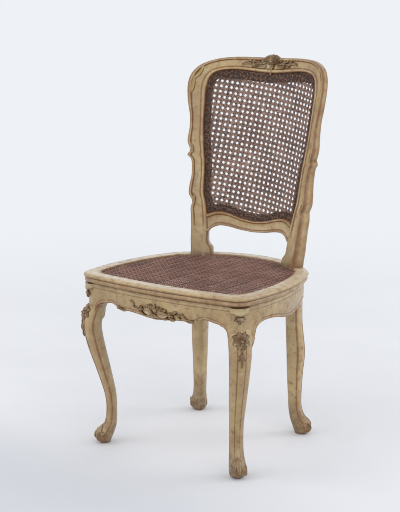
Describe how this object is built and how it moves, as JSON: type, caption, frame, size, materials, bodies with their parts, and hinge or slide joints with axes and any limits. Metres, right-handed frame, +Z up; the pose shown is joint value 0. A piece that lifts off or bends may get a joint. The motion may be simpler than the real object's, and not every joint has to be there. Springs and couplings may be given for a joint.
{
  "type": "caned side chair",
  "caption": "Lacquered wooden side chair with scrolled cabriole legs, a bowed caned back with a carved crest, and a caned seat in a moulded frame.",
  "frame": {"origin": "floor level, in the middle of the chair's width and depth", "axes": "+Z up, the sitter faces -Y, +X to the chair's right seen from the front"},
  "size_m": [0.524, 0.5399, 0.988],
  "materials": {
    "lacquered_wood": "aged cream lacquer with brown and gilt lines on its mouldings",
    "woven_cane": "dark aged split cane in a six-way weave",
    "bare_wood": "unfinished beech",
    "screw_steel": "plain steel wood screw"
  },
  "bodies": {
    "root": {"front_right_leg": "lacquered_wood", "front_left_leg": "lacquered_wood", "rear_right_upright": "lacquered_wood", "rear_left_upright": "lacquered_wood", "front_seat_rail": "lacquered_wood", "right_seat_rail": "lacquered_wood", "left_seat_rail": "lacquered_wood", "rear_seat_rail": "lacquered_wood", "seat_frame_front": "lacquered_wood", "seat_frame_right": "lacquered_wood", "seat_frame_left": "lacquered_wood", "seat_frame_back": "lacquered_wood", "crest_rail": "lacquered_wood", "stay_rail": "lacquered_wood", "seat_cane": "woven_cane", "back_cane": "woven_cane", "front_right_corner_block": "bare_wood", "front_left_corner_block": "bare_wood", "rear_right_corner_block": "bare_wood", "rear_left_corner_block": "bare_wood", "seat_joint_pegs": "bare_wood", "back_joint_pegs": "bare_wood", "seat_frame_dowels": "bare_wood", "corner_block_screws": "screw_steel"}
  },
  "joints": []
}
